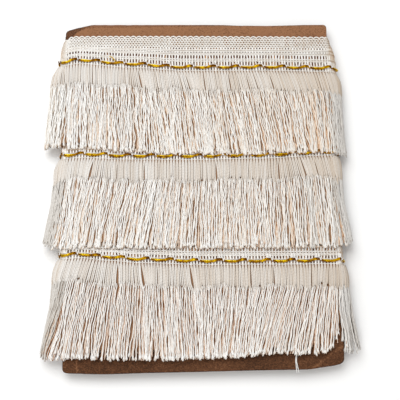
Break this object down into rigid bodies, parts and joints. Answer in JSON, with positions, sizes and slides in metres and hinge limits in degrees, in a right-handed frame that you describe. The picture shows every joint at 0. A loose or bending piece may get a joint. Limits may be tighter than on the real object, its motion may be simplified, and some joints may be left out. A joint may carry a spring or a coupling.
{
  "type": "tassel fringe trim wound on a cardboard card",
  "caption": "Knitted fringe trim with a scalloped heading and a gilt cord, wound in overlapping tiers on a flat cardboard card.",
  "frame": {"origin": "centre of the bottom face of the box round the pack, which lies on its back", "axes": "+X across the card to the right, +Y up the card from the lowest fringe to the scalloped edge, +Z away from the surface it lies on"},
  "size_m": [0.2638, 0.2974, 0.0206],
  "materials": {
    "board": "matte kraft",
    "knit": "matte",
    "yarn": "soft sheen",
    "gilt": "metallic"
  },
  "bodies": {
    "root": {"card": "board", "heading_top": "knit", "heading_middle": "knit", "heading_bottom": "knit", "gilt_cord_top": "gilt", "gilt_cord_middle": "gilt", "gilt_cord_bottom": "gilt", "fringe_top": "yarn", "fringe_middle": "yarn", "fringe_bottom": "yarn"}
  },
  "joints": []
}
